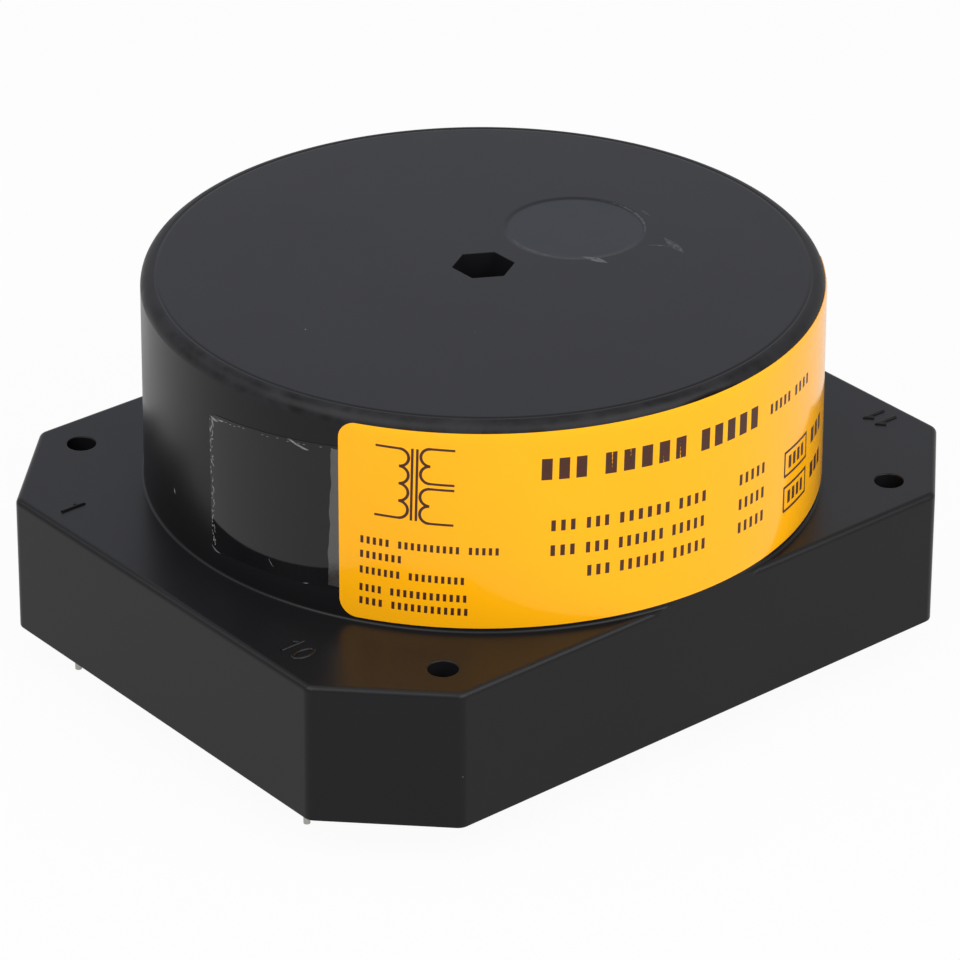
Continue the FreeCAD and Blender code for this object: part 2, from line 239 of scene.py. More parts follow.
# %% The skirt's outline
def octagon(inset, level, corner_radius, arc_steps=8):
    """The skirt's outline at a level: a rectangle with cut corners, moved in by the inset and
    by the draft, whose eight corners are arcs of the corner radius.

    Each straight side is a line n.p = d. A corner arc is centred where its two sides, moved
    in by the radius, cross, and runs from one side's normal to the next one's.
    """
    diagonal = (BASE_HALF_X + BASE_HALF_Y - CORNER_CUT) / math.sqrt(2)
    shift = inset + level * DRAFT
    normals = np.radians(np.arange(8) * 45.0)
    reach = np.array([BASE_HALF_X, diagonal, BASE_HALF_Y, diagonal] * 2) - shift - corner_radius
    following = np.radians(np.arange(1, 9) * 45.0)
    system = np.stack([np.stack([np.cos(normals), np.sin(normals)], -1),
                       np.stack([np.cos(following), np.sin(following)], -1)], 1)
    sides = np.stack([reach, np.roll(reach, -1)], -1)[..., None]
    centres = np.linalg.solve(system, sides)[..., 0]
    blend = np.linspace(0, 1, arc_steps + 1)
    angle = normals[:, None] + (following - normals)[:, None] * blend[None, :]
    arcs = centres[:, None] + corner_radius * np.stack([np.cos(angle), np.sin(angle)], -1)
    ahead = np.stack([-np.sin(angle), np.cos(angle)], -1) * SUPPORT
    arcs = np.concatenate([arcs[:, :1] - ahead[:, :1], arcs, arcs[:, -1:] + ahead[:, -1:]], 1)
    return arcs.reshape(-1, 2)


print("outline points", len(octagon(0, 0, CORNER_RADIUS)))

# %% [markdown]
# ## The housing
#
# The real housing is one injection moulding. Its drum leans in by a draft of 0.6
# degrees, so that it leaves the tool. It could be a cylinder with a bevel, but a
# profile turned about the axis puts rows of faces exactly where the surface bends,
# and a row close to each rounding keeps the flat beside it evenly shaded. Where the
# drum would stand out past the skirt's two long sides it is flush with them, which
# here is one `clip` of the y coordinate.

# %% Housing: the drum
housing = Build("housing_moulding")
DRUM_STEPS = 720
foot_level = SKIRT_HEIGHT + FOOT_RADIUS
foot_centre = drum_radius_at(foot_level) + FOOT_RADIUS
foot_angle = np.radians(np.linspace(-90, -180, 7))
top_level = TOP - TOP_RADIUS
top_centre = drum_radius_at(top_level) - TOP_RADIUS
top_angle = np.radians(np.linspace(0, 90, 15))
wall_levels = [foot_level + SUPPORT, *np.linspace(foot_level, top_level, 10)[1:-1],
               top_level - SUPPORT]
BURIED = SKIRT_HEIGHT - EDGE_RADIUS + 0.05

drum_rows = [(TUBE_RADIUS, BURIED), (foot_centre, BURIED)]
drum_rows += [(foot_centre + FOOT_RADIUS * math.cos(a), foot_level + FOOT_RADIUS * math.sin(a))
              for a in foot_angle]
drum_rows += [(drum_radius_at(z), z) for z in wall_levels]
drum_rows += [(top_centre + TOP_RADIUS * math.cos(a), top_level + TOP_RADIUS * math.sin(a))
              for a in top_angle]
# A fine line runs where the rounding meets the flat top.
GROOVE_WIDTH, GROOVE_DEPTH, FLAT_FROM = 0.34, 0.07, 0.7
drum_rows += [(top_centre - GROOVE_WIDTH * share, TOP - GROOVE_DEPTH * math.sin(math.pi * share))
              for share in (0.25, 0.5, 0.75, 1.0)]
drum_rows.append((top_centre - FLAT_FROM, TOP))

drum_grid = turned(drum_rows, DRUM_STEPS)
flush_limit = BASE_HALF_Y - drum_grid[..., 2] * DRAFT
drum_grid[..., 1] = np.clip(drum_grid[..., 1], -flush_limit, flush_limit)
housing.grid(drum_grid, wrap=True)

# The tube and the bore through it, closed by a ring at their lower ends.
tube_rows = lip(-1, TUBE_RADIUS, RIM_LIFT, LIP, -1) + [(TUBE_RADIUS, BURIED)]
bore_rows = lip(-1, BORE_RADIUS, RIM_LIFT, LIP, 1) + [(BORE_RADIUS, POCKET_FLOOR)]
end_rows = [(tube_rows[0][0], RIM_LIFT), (bore_rows[0][0], RIM_LIFT)]
for rows in (tube_rows, bore_rows, end_rows):
    housing.grid(turned(rows, DRUM_STEPS), wrap=True)
print("drum profile rows", len(drum_rows))

# %% [markdown]
# The top has a six-sided pocket for a nut or a screw's head, and a shallow round
# mark where the melt was let into the mould. Booleans could cut both. Here the
# pocket is an outline carried straight down, the mark is turned from a profile with
# a slow slope, and the flat top is one area filled between their outlines.

# %% Housing: the nut pocket and the gate mark
HEX_CORNER, HEX_LIP = 0.25, 0.08


def rounded_hexagon(half_flats, corner_radius, arc_steps=5):
    """A six-sided outline with two flats facing along X: arcs of the corner radius, centred on
    the corners of a smaller hexagon, joined by the flats."""
    middle = np.radians(30 + 60 * np.arange(6))
    reach = (half_flats - corner_radius) / math.cos(math.pi / 6)
    spread = np.radians(np.linspace(-30, 30, arc_steps))
    angle = middle[:, None] + spread[None, :]
    centres = reach * np.stack([np.cos(middle), np.sin(middle)], -1)
    arcs = centres[:, None] + corner_radius * np.stack([np.cos(angle), np.sin(angle)], -1)
    return arcs.reshape(-1, 2)


hex_rows = lip(1, 0.0, TOP, HEX_LIP, 1)
hex_loops = [rounded_hexagon(HEX_HALF_FLATS + grow, HEX_CORNER + grow) for grow, _ in hex_rows]
hex_levels = [z for _, z in hex_rows] + [POCKET_FLOOR]
hex_loops.append(hex_loops[-1])
housing.grid(stacked(hex_loops, hex_levels), wrap=True)
housing.flat([hex_loops[-1], circle(BORE_RADIUS, DRUM_STEPS)], POCKET_FLOOR)

GATE_STEPS = 180
GATE_SLOPE = 1.1      # the mark's edge falls slowly, as cos from 0 to pi
gate_rows = [(GATE_RADIUS + GATE_SLOPE * (0.5 - s),
              TOP - GATE_DEPTH * (1 - math.cos(math.pi * s)) / 2) for s in np.linspace(0, 1, 9)]
gate_rows.append((GATE_RADIUS - GATE_SLOPE, TOP - GATE_DEPTH))
housing.grid(turned(gate_rows, GATE_STEPS, GATE_CENTRE), wrap=True)
housing.flat([circle(gate_rows[-1][0], GATE_STEPS, GATE_CENTRE)], TOP - GATE_DEPTH)
housing.flat([circle(drum_rows[-1][0], DRUM_STEPS), hex_loops[0],
              circle(gate_rows[0][0], GATE_STEPS, GATE_CENTRE)], TOP)
print("hexagon points", len(hex_loops[0]))

# %% [markdown]
# The numbers of the end pins stand a little out of the skirt's top, with rounded
# strokes. A text object could be turned to a mesh, but a mould maker's digits are
# plain strokes of one width. So each digit is a path with a width: its outline is
# the path moved to both sides, and a narrower outline lies higher.

# %% Strokes with a width
def band(path, width, closed=False):
    """A stroke's outline: the path moved half a width along its mitred normals, both ways."""
    path = np.asarray(path, float)
    if closed:
        ahead = np.roll(path, -1, 0) - path
        behind = path - np.roll(path, 1, 0)
    else:
        ahead = np.vstack([np.diff(path, axis=0), path[-1] - path[-2]])
        behind = np.vstack([path[1] - path[0], np.diff(path, axis=0)])
    ahead = ahead / np.linalg.norm(ahead, axis=1)[:, None]
    behind = behind / np.linalg.norm(behind, axis=1)[:, None]
    mean = ahead + behind
    mean /= np.linalg.norm(mean, axis=1)[:, None]
    stretch = 1 / np.maximum((mean * ahead).sum(1), 0.5)
    side = np.stack([-mean[:, 1], mean[:, 0]], -1) * (stretch * width / 2)[:, None]
    if closed:
        return [path + side, path - side]
    return [np.vstack([path + side, (path - side)[::-1]])]


print("a straight stroke has", len(band([[0, 0], [1, 0]], 0.2)[0]), "corners")

# %% Digits
def digit_loops(digit, width):
    """One digit, 1.0 high and standing on y = 0, as stroke outlines."""
    if digit == "1":
        return band([[0.04, 0.74], [0.28, 0.96], [0.28, 0.0]], width)
    if digit == "0":
        angle = np.linspace(0, 2 * np.pi, 28, endpoint=False)
        oval = np.stack([0.28 + 0.24 * np.cos(angle), 0.5 + 0.47 * np.sin(angle)], -1)
        return band(oval, width, True)
    hook = np.radians(np.linspace(165, -35, 12))
    top = np.stack([0.28 + 0.24 * np.cos(hook), 0.72 + 0.25 * np.sin(hook)], -1)
    return band(np.vstack([top, [[0.04, 0.03], [0.54, 0.03]]]), width)


print("outlines of a 0:", len(digit_loops("0", 0.1)))

# %% The numbers of the end pins
NUMBER_HEIGHT, NUMBER_STROKE, NUMBER_ADVANCE, NUMBER_RISE = 3.7, 0.6, 2.6, 0.3


def number_loops(number, centre, side, stroke_width):
    """A number's outlines on the skirt's top, centred at a place. side is -1 on the -X side,
    where it reads towards -Y, and +1 on the other side, where it reads towards +Y."""
    loops = []
    for place, digit in enumerate(number):
        for loop in digit_loops(digit, stroke_width / NUMBER_HEIGHT):
            loops.append(loop * NUMBER_HEIGHT + [place * NUMBER_ADVANCE, 0])
    middle = [((len(number) - 1) * NUMBER_ADVANCE + 0.56 * NUMBER_HEIGHT) / 2, NUMBER_HEIGHT / 2]
    return [np.column_stack([-side * (loop[:, 1] - middle[1]) + centre[0],
                             side * (loop[:, 0] - middle[0]) + centre[1]]) for loop in loops]


NUMBERS = [("1", (-55.2, 27.1), -1), ("10", (-54.9, -25.9), -1),
           ("11", (55.4, -27.3), 1), ("20", (55.4, 27.0), 1)]
STROKE_SHARES = (1.0, 0.94, 0.78, 0.55, 0.3, 0.06)
number_rings = [[loop for number, centre, side in NUMBERS
                 for loop in number_loops(number, centre, side, NUMBER_STROKE * share)]
                for share in STROKE_SHARES]
ring_levels = [SKIRT_HEIGHT + NUMBER_RISE * math.sqrt(1 - share ** 2) for share in STROKE_SHARES]
print("digit outlines", len(number_rings[0]))

# %% [markdown]
# The skirt could be an extrusion with a bevel, but its corners' arcs get smaller as
# the edge rounds over. So it is one closed skin: the outline, worked out anew for
# each row, is carried up a profile that ends in a rounded top edge. The flat top is
# open at the screw holes and under the digits. Round each hole runs a tiny rounded
# lip, because no moulding has a knife edge, and that lip is what catches the light.

# %% Housing: the skirt's outer and inner skins
RIM_EASE, RIM_MIDDLE = 0.15, 0.04       # the rim's rounding, and its middle row
skirt_rows = [(RIM_EASE, 0.0, CORNER_RADIUS), (RIM_MIDDLE, RIM_MIDDLE, CORNER_RADIUS),
              (0.0, RIM_EASE, CORNER_RADIUS)]
skirt_rows += [(0.0, z, CORNER_RADIUS)
               for z in (RIM_EASE + SUPPORT, 7.0, 14.0, SKIRT_HEIGHT - EDGE_RADIUS - SUPPORT)]
skirt_rows += [(EDGE_RADIUS * (1 - math.cos(a)),
                SKIRT_HEIGHT - EDGE_RADIUS + EDGE_RADIUS * math.sin(a),
                CORNER_RADIUS - EDGE_RADIUS * (1 - math.cos(a)))
               for a in np.radians(np.linspace(0, 90, 9))]
FLAT_IN = 0.2       # the flat top starts this far in from the rounded edge
skirt_rows.append((EDGE_RADIUS + FLAT_IN, SKIRT_HEIGHT, CORNER_RADIUS - EDGE_RADIUS - FLAT_IN))
outside = [octagon(inset, z, radius) for inset, z, radius in skirt_rows]
housing.grid(stacked(outside, [z for _, z, _ in skirt_rows]), wrap=True)

INNER_CORNER = 0.3
inside_rows = [(WALL - RIM_EASE, 0.0), (WALL, RIM_EASE), (WALL, 1.0), (WALL, SKIRT_CEILING)]
inside = [octagon(inset, z, INNER_CORNER) for inset, z in inside_rows]
housing.grid(stacked(inside, [z for _, z in inside_rows]), wrap=True)
housing.grid(stacked([outside[0], inside[0]], [0.0, 0.0]), wrap=True)
print("skirt rows", len(skirt_rows), "outside and", len(inside_rows), "inside")

# %% Housing: screw holes and posts, digits, and the flat top
HOLE_STEPS = 72
POST_NECK, POST_SHOULDER = 4.5, (2.0, 3.2)      # a post narrows between these two levels
top_holes, ceiling_holes = [], []
for place in SCREW_PLACES:
    hole_rows = lip(-1, HOLE_RADIUS, RIM_LIFT, SMALL_LIP, 1)
    hole_rows += lip(1, HOLE_RADIUS, SKIRT_HEIGHT, LIP, 1)[::-1]
    housing.grid(turned(hole_rows, HOLE_STEPS, place), wrap=True)
    post_rows = [(hole_rows[0][0], RIM_LIFT)] + lip(-1, POST_RADIUS, RIM_LIFT, SMALL_LIP, -1)
    post_rows += [(POST_RADIUS, POST_SHOULDER[0]), (POST_NECK, POST_SHOULDER[1]),
                  (POST_NECK, SKIRT_CEILING)]
    housing.grid(turned(post_rows, HOLE_STEPS, place), wrap=True)
    top_holes.append(circle(hole_rows[-1][0], HOLE_STEPS, place))
    ceiling_holes.append(circle(POST_NECK, HOLE_STEPS, place))

for rings in zip(*number_rings):
    housing.grid(stacked(rings, ring_levels), wrap=True)
housing.flat(number_rings[-1], ring_levels[-1])

THROUGH = 5.0       # the tube passes here, so the skirt's own skin is open round it
core_loop = circle(THROUGH, HOLE_STEPS)
housing.grid(stacked([core_loop, core_loop], [SKIRT_CEILING, SKIRT_HEIGHT]), wrap=True)
housing.flat([outside[-1], core_loop] + top_holes + number_rings[0], SKIRT_HEIGHT)
housing.flat([inside[-1], core_loop] + ceiling_holes, SKIRT_CEILING)

housing_piece = housing.finish()

# %% Housing: the faces that get a finish of their own
def is_gate(face):
    """Whether a face lies on the gate mark's floor."""
    away = math.hypot(face.center.x - GATE_CENTRE[0] * MM, face.center.y - GATE_CENTRE[1] * MM)
    return abs(face.center.z - (TOP - GATE_DEPTH) * MM) < 2e-5 and away < GATE_RADIUS * MM


def is_rounding(face):
    """Whether a face lies on the rounding between the drum's wall and its flat top."""
    away = math.hypot(face.center.x, face.center.y)
    return (top_level + 0.1) * MM < face.center.z < (TOP - 0.001) * MM \
        and away > (top_centre + 0.01) * MM


gate_faces = np.array([face.index for face in housing_piece.data.polygons if is_gate(face)])
rim_faces = np.array([face.index for face in housing_piece.data.polygons if is_rounding(face)])
print("gate mark faces", len(gate_faces), "rounding faces", len(rim_faces))

# %% [markdown]
# Two rails inside the skirt hold the pins. Only a view from below shows them, and
# they are plain bars, for which a bevelled cube would do. They are made as stacked
# rectangles, because that takes three rows and no new helper.

# %% Housing: the two pin rails
RAIL_INNER_X, RAIL_OUTER_X, RAIL_HALF = 52.0, 58.4, 31.0
RAIL_BOTTOM, RAIL_TOP, RAIL_CHAMFER = 0.6, 4.6, 0.15
rails = Build("pin_rails")


def rail_loop(side, inset):
    """A rail's rectangle on the side of that sign, moved in by the inset."""
    low_x, high_x = sorted((side * RAIL_INNER_X, side * RAIL_OUTER_X))
    return np.array([[low_x + inset, -RAIL_HALF + inset], [high_x - inset, -RAIL_HALF + inset],
                     [high_x - inset, RAIL_HALF - inset], [low_x + inset, RAIL_HALF - inset]])


for side in (-1, 1):
    loops = [rail_loop(side, inset) for inset in (RAIL_CHAMFER, 0.0, 0.0)]
    rails.grid(stacked(loops, [RAIL_BOTTOM, RAIL_BOTTOM + RAIL_CHAMFER, RAIL_TOP]), wrap=True)
    rails.flat([loops[0]], RAIL_BOTTOM)
    rails.flat([loops[-1]], RAIL_TOP)
rails_piece = rails.finish()

# %% [markdown]
# ## The label and the clear film
#
# Both are thin films laid on the drum's wall. A plane pressed on to the wall by a
# Shrinkwrap modifier would follow it too, but would stretch what is drawn on it. So
# we draw on the unrolled wall, as a distance along it and a height, turn that
# drawing by the small angle at which the film was stuck on, and roll it back on to
# the tapered wall, where each millimetre stays a millimetre.

# %% The unrolled wall
class WallSheet:
    """A place on the wall for things drawn flat: (along, up) in mm from its lower left corner."""

    def __init__(self, left_deg, bottom, tilt_deg):
        self.left = math.radians(left_deg)
        self.bottom = bottom
        self.tilt = math.radians(tilt_deg)

    def rolled(self, along, up_, lift):
        """Turns (along, up) by the tilt, then goes round the wall by along / radius and out by
        the lift.

        Where it reaches past the straight wall by a length s, it bends over the rounded top: the
        turn is s / top radius, and radius and level follow its cosine and sine.
        """
        across = along * math.cos(self.tilt) - up_ * math.sin(self.tilt)
        rise = along * math.sin(self.tilt) + up_ * math.cos(self.tilt)
        level = SKIRT_HEIGHT + self.bottom + rise
        angle = self.left + across / DRUM_RADIUS
        bend = np.maximum(level - top_level, 0) / TOP_RADIUS
        radius = np.where(bend > 0, top_centre + (TOP_RADIUS + lift) * np.cos(bend),
                          drum_radius_at(level) + lift)
        level = np.where(bend > 0, top_level + (TOP_RADIUS + lift) * np.sin(bend), level)
        return np.stack([radius * np.cos(angle), radius * np.sin(angle), level], -1)


print("the straight wall ends at", round(top_level, 2), "mm")

# %% A film
FILM_BACK = 0.004       # a film's back lies this near the wall


def film_grid(length, height, corner, columns, rows):
    """A rounded rectangle as a grid: each column's ends move in near the left and right sides by
    corner - sqrt(corner^2 - (corner - distance)^2), which draws the round corners."""
    ends = corner * (1 - np.cos(np.linspace(0, np.pi / 2, 12)))
    along = np.concatenate([ends, np.linspace(corner, length - corner, columns)[1:-1],
                            (length - ends)[::-1]])
    near = np.minimum(along, length - along)
    missing = np.clip(corner - near, 0, corner)
    cut = corner - np.sqrt(np.maximum(corner ** 2 - missing ** 2, 0))
    share = np.linspace(0, 1, rows)
    up_ = cut[None, :] + (height - 2 * cut)[None, :] * share[:, None]
    return np.broadcast_to(along, up_.shape), up_


def film_piece(name, sheet, length, height, corner, thickness, columns, rows, cut_to=None):
    """A closed film: a face at the thickness, a back on the wall, and an edge all round. cut_to
    carries the rectangle on to a shape that was cut less square."""
    along, up_ = film_grid(length, height, corner, columns, rows)
    if cut_to:
        along, up_ = cut_to(along, up_)
    face = sheet.rolled(along, up_, thickness)
    back = sheet.rolled(along, up_, FILM_BACK)
    build = Build(name)
    build.grid(face)
    build.grid(back)

    def rim(points):
        return np.concatenate([points[0, :-1], points[:-1, -1],
                               points[-1, :0:-1], points[:0:-1, 0]])

    build.grid(np.stack([rim(face), rim(back)]), wrap=True)
    return build.finish()


print("a film's back lies", FILM_BACK, "mm off the wall")

# %% The clear film's cut and both films
CLEAR_LENGTH, CLEAR_HEIGHT = 26.0, 22.0
CLEAR_CORNERS = np.array([[[0.35, 0.0], [26.0, 1.15]], [[0.0, 21.6], [26.0, 23.8]]])


def clear_cut(along, up_):
    """Carries the rectangle on to the clear film's four corners: the corner places are mixed by
    (1 - s, s) along and by (1 - t, t) upwards, with s = along / length and t = up / height."""
    s, t = (along / CLEAR_LENGTH)[..., None], (up_ / CLEAR_HEIGHT)[..., None]
    low = (1 - s) * CLEAR_CORNERS[0, 0] + s * CLEAR_CORNERS[0, 1]
    high = (1 - s) * CLEAR_CORNERS[1, 0] + s * CLEAR_CORNERS[1, 1]
    placed = (1 - t) * low + t * high
    return placed[..., 0], placed[..., 1]


LABEL_LEFT, LABEL_BOTTOM, LABEL_TILT = -153.3, 0.70, 0.14
LABEL_LENGTH, LABEL_HEIGHT, LABEL_CORNER, CLEAR_CORNER = 107.0, 30.4, 2.6, 1.8
PRINT_TILT = -1.26          # the print runs downhill on its film
LABEL_LIFT, CLEAR_LIFT = 0.105, 0.07
label_sheet = WallSheet(LABEL_LEFT, LABEL_BOTTOM, LABEL_TILT)
print_sheet = WallSheet(LABEL_LEFT, LABEL_BOTTOM, PRINT_TILT)
clear_sheet = WallSheet(-180.2, 3.4, 0.0)
label_piece = film_piece("rating_label_film", label_sheet, LABEL_LENGTH, LABEL_HEIGHT,
                         LABEL_CORNER, LABEL_LIFT, columns=220, rows=40)
clear_piece = film_piece("clear_film_strip", clear_sheet, CLEAR_LENGTH, CLEAR_HEIGHT,
                         CLEAR_CORNER, CLEAR_LIFT, columns=60, rows=12, cut_to=clear_cut)

# %% [markdown]
# ## The print
#
# Each line of text is drawn as words of small blocks, one for a letter, with a
# plain diagram of the windings at the left end and two framed words near the right
# end. An image could carry the print, but it blurs from near and is no part of the
# mesh. So each mark is a stroke that follows a path and is rolled on to the wall
# like the film, and one function makes them all.

# %% Strokes on the wall
INK_LIFT = 0.112
STROKE_RUN = 0.6        # a stroke is divided into runs of about this length, to follow the wall
ink = Build("label_print")


def stroke(path, width, closed=False):
    """Prints a stroke: its path is divided into short runs, moved half a width to both sides,
    and both edges are rolled on to the wall."""
    path = np.asarray(path, float)
    if closed:
        path = np.vstack([path, path[:1]])
    runs = np.linalg.norm(np.diff(path, axis=0), axis=1)
    total = np.concatenate([[0], np.cumsum(runs)])
    steps = max(2, int(total[-1] / STROKE_RUN) + 1)
    places = np.union1d(np.linspace(0, total[-1], steps), total)
    dense = np.stack([np.interp(places, total, path[:, k]) for k in (0, 1)], -1)
    edges = band(dense, width)[0]
    half = len(dense)
    left_edge, right_edge = edges[:half], edges[half:][::-1]
    grid = np.stack([left_edge, right_edge])
    ink.grid(print_sheet.rolled(grid[..., 0], grid[..., 1], INK_LIFT))


print("ink lies", INK_LIFT, "mm off the wall")

# %% Words and windings
LETTER_SHARE = 0.8      # a letter's pitch is about this share of its height


def word(left_end, middle, length, height, fill):
    """A row of small blocks for a word, one for each letter, where fill is a block's share of
    its pitch."""
    count = max(2, round(length / (LETTER_SHARE * height)))
    pitch = length / count
    for index in range(count):
        centre = left_end + (index + 0.5) * pitch
        stroke([[centre, middle - height / 2], [centre, middle + height / 2]], fill * pitch)


def text_line(left_end, middle, lengths, height, gap, fill):
    """A line of words, with a gap between them."""
    for length in lengths:
        word(left_end, middle, length, height, fill)
        left_end += length + gap


def arc_path(centre, radius, from_deg, to_deg, steps=24):
    """Points along an arc."""
    angle = np.radians(np.linspace(from_deg, to_deg, steps))
    return np.stack([centre[0] + radius * np.cos(angle), centre[1] + radius * np.sin(angle)], -1)


def winding(left_end, middle, loops, loop_radius, side, width):
    """A winding's symbol: half-round loops one above another, open towards one side."""
    for index in range(loops):
        centre = (left_end, middle + (index - (loops - 1) / 2) * 2 * loop_radius)
        start = -90 if side > 0 else 90
        stroke(arc_path(centre, loop_radius, start, start + 180), width)


print("a letter takes", LETTER_SHARE, "of its height")

# %% The winding diagram
x0, y0 = 10.5, 22.4         # the diagram's middle
LOOP_RADIUS, LOOP_STROKE, LINE_STROKE = 1.35, 0.42, 0.36
COIL_OUT, LEAD_OUT, CORE_HALF = 2.2, 5.6, 5.6       # from the middle: coils, leads, core's ends
winding(x0 - COIL_OUT, y0, 4, LOOP_RADIUS, 1, LOOP_STROKE)
for core_line in (-0.35, 0.35):
    stroke([[x0 + core_line, y0 - CORE_HALF], [x0 + core_line, y0 + CORE_HALF]], LINE_STROKE)
for half in (-3.1, 3.1):
    winding(x0 + COIL_OUT, y0 + half, 2, LOOP_RADIUS, -1, LOOP_STROKE)
for side, ends in ((-1, (-5.4, 5.4)), (1, (-5.8, -0.4, 0.4, 5.8))):
    for end in ends:
        stroke([[x0 + side * COIL_OUT, y0 + end], [x0 + side * LEAD_OUT, y0 + end]], LINE_STROKE)
print("winding diagram at", (x0, y0))

# %% The lines of text
# Each line: left end, middle, lengths of its words, height, gap, and a block's share of its pitch.
TEXT_LINES = (
    (27.6, 25.35, (7.4, 13.8, 12.4), 3.3, 1.7, 0.62),
    (67.0, 25.1, (6.2, 5.6), 1.6, 1.0, 0.5),
    (2.7, 12.7, (4.6, 9.0, 4.6), 1.15, 0.9, 0.5),
    (2.7, 10.4, (6.4,), 1.15, 0.9, 0.5),
    (2.7, 7.9, (6.2, 8.2), 1.15, 0.9, 0.5),
    (2.7, 5.1, (3.6, 11.2), 1.15, 0.9, 0.5),
    (2.7, 3.0, (3.8, 11.2), 1.15, 0.9, 0.5),
    (29.3, 16.5, (4.2, 4.0, 8.6, 5.4), 1.7, 0.9, 0.46),
    (29.3, 12.6, (4.2, 4.0, 7.6, 6.2), 1.7, 0.9, 0.46),
    (34.7, 8.9, (4.0, 7.6, 6.2), 1.7, 0.9, 0.46),
    (60.2, 16.5, (6.4,), 1.7, 0.9, 0.46),
    (60.2, 12.6, (6.4,), 1.7, 0.9, 0.46),
    (60.2, 8.9, (6.4,), 1.7, 0.9, 0.46))
for line in TEXT_LINES:
    text_line(*line)

BOX_LEFT, BOX_RIGHT, BOX_HALF, BOX_STROKE = 72.0, 79.6, 1.9, 0.42
for centre_y in (14.3, 8.7):
    stroke([[BOX_LEFT, centre_y - BOX_HALF], [BOX_RIGHT, centre_y - BOX_HALF],
            [BOX_RIGHT, centre_y + BOX_HALF], [BOX_LEFT, centre_y + BOX_HALF]],
           BOX_STROKE, closed=True)
    word(72.9, centre_y, 5.8, 2.0, 0.6)
    word(81.6, centre_y + 0.2, 6.6, 2.4, 0.68)
ink_piece = ink.finish(sharp_deg=180, off_axis=True)

# %% [markdown]
# Between the clear film and the wall a little air is trapped. It shows as a row of
# short white dashes along the film's left edge and small streaks at its corners.
# Beside the label the film stands off the wall in a narrow, hazy strip. A noise
# texture could suggest all this, but it would lie all over the film, and each real
# mark has a place. So each is a small tapered patch, and a fixed seed scatters the
# dashes of the left edge in the same way on each run.

# %% Dashes on the film
AIR_OFF_FILM, HAZE_OFF_FILM, SPECK_LIFT = 0.008, 0.006, 0.006
air = Build("trapped_air")
rng = np.random.default_rng(7)


def dash(build, along, up_, length, width, lean_deg, curl_deg=0.0, lift=CLEAR_LIFT + AIR_OFF_FILM):
    """A tapered dash on the wall or film, whose width goes as sin(pi s) from end to end. Its
    direction turns evenly by the curl from its one end to the other."""
    s = np.linspace(0, 1, 13)
    lean = np.radians(lean_deg + curl_deg * (s - 0.5))
    half = 0.5 * width * np.sin(np.pi * np.clip(s, 0.06, 0.94))
    step = length / (len(s) - 1)
    centre_a = along + step * (np.cumsum(np.cos(lean)) - np.cos(lean).sum() / 2)
    centre_u = up_ + step * (np.cumsum(np.sin(lean)) - np.sin(lean).sum() / 2)
    edges_a = np.stack([centre_a - half * np.sin(lean), centre_a + half * np.sin(lean)])
    edges_u = np.stack([centre_u + half * np.cos(lean), centre_u - half * np.cos(lean)])
    build.grid(clear_sheet.rolled(edges_a, edges_u, lift))


def on_wall(around_deg, level):
    """Where a place on the wall, by its angle and level, lies on the clear film's sheet."""
    return (math.radians(around_deg) - clear_sheet.left) * DRUM_RADIUS, \
        level - SKIRT_HEIGHT - clear_sheet.bottom


print("a dash lies", round(AIR_OFF_FILM, 3), "mm off the film")

# %% Trapped air
# Along the left edge: mostly upright dashes of 0.25 to 0.85 mm, in a ragged row.
for up_ in np.arange(0.9, 20.7, 0.3):
    if rng.random() < 0.75:
        dash(air, 0.45 - up_ * 0.016 + rng.random() * 0.65, up_ + rng.normal() * 0.12,
             0.25 + rng.random() * 0.6, 0.1 + rng.random() * 0.2, 90 + rng.normal() * 30)
# Along the top edge: thin dashes of half a millimetre.
for along in np.linspace(2.0, 22.5, 24):
    if rng.random() < 0.5:
        dash(air, along, 21.15 + along * 0.085 + rng.normal() * 0.08, 0.5, 0.08, 5)
# Each mark: angle round the wall, level, length, width, lean and curl.
AIR_MARKS = ((-178.9, 45.9, 1.8, 0.45, -10, 30), (-177.2, 46.1, 1.5, 0.2, 8, 10),
             (-179.2, 45.2, 1.5, 0.35, -75, 20), (-178.9, 25.1, 2.2, 0.2, -22, 60),
             (-160.8, 47.25, 3.6, 0.26, -14, 14), (-161.6, 47.5, 1.8, 0.16, -22, 10),
             (-159.6, 46.8, 1.4, 0.14, -6, 10),
             (-166.2, 27.1, 1.5, 0.09, -55, 40), (-159.5, 25.6, 1.0, 0.12, 10, 20))
for around_deg, level, *shape in AIR_MARKS:
    dash(air, *on_wall(around_deg, level), *shape)
dash(air, *on_wall(-191.8, 29.3), 1.0, 0.3, -70, 0, SPECK_LIFT)     # a bright speck on the wall
air_piece = air.finish(sharp_deg=180, off_axis=True)

# %% The strip where the film stands off
haze = Build("lifted_film_strip")
HAZE_STEPS = 60
s = np.linspace(0, 1, HAZE_STEPS)
inner_a = (math.radians(LABEL_LEFT) - clear_sheet.left) * DRUM_RADIUS + 0.5
outer_a = on_wall(-155.4, 0)[0] + 0.72 * s + 0.09 * np.sin(19 * s) + 0.05 * np.sin(43 * s + 1)
bottom_u, top_u = clear_cut(np.full(2, 23.0), np.array([0.02, 0.98]) * CLEAR_HEIGHT)[1]
levels_u = bottom_u + (top_u - bottom_u) * s
columns_a = np.stack([outer_a, (outer_a + inner_a) / 2, np.full(HAZE_STEPS, inner_a)])
haze.grid(clear_sheet.rolled(columns_a, np.stack([levels_u] * 3), CLEAR_LIFT + HAZE_OFF_FILM))
haze_piece = haze.finish(sharp_deg=180, off_axis=True)
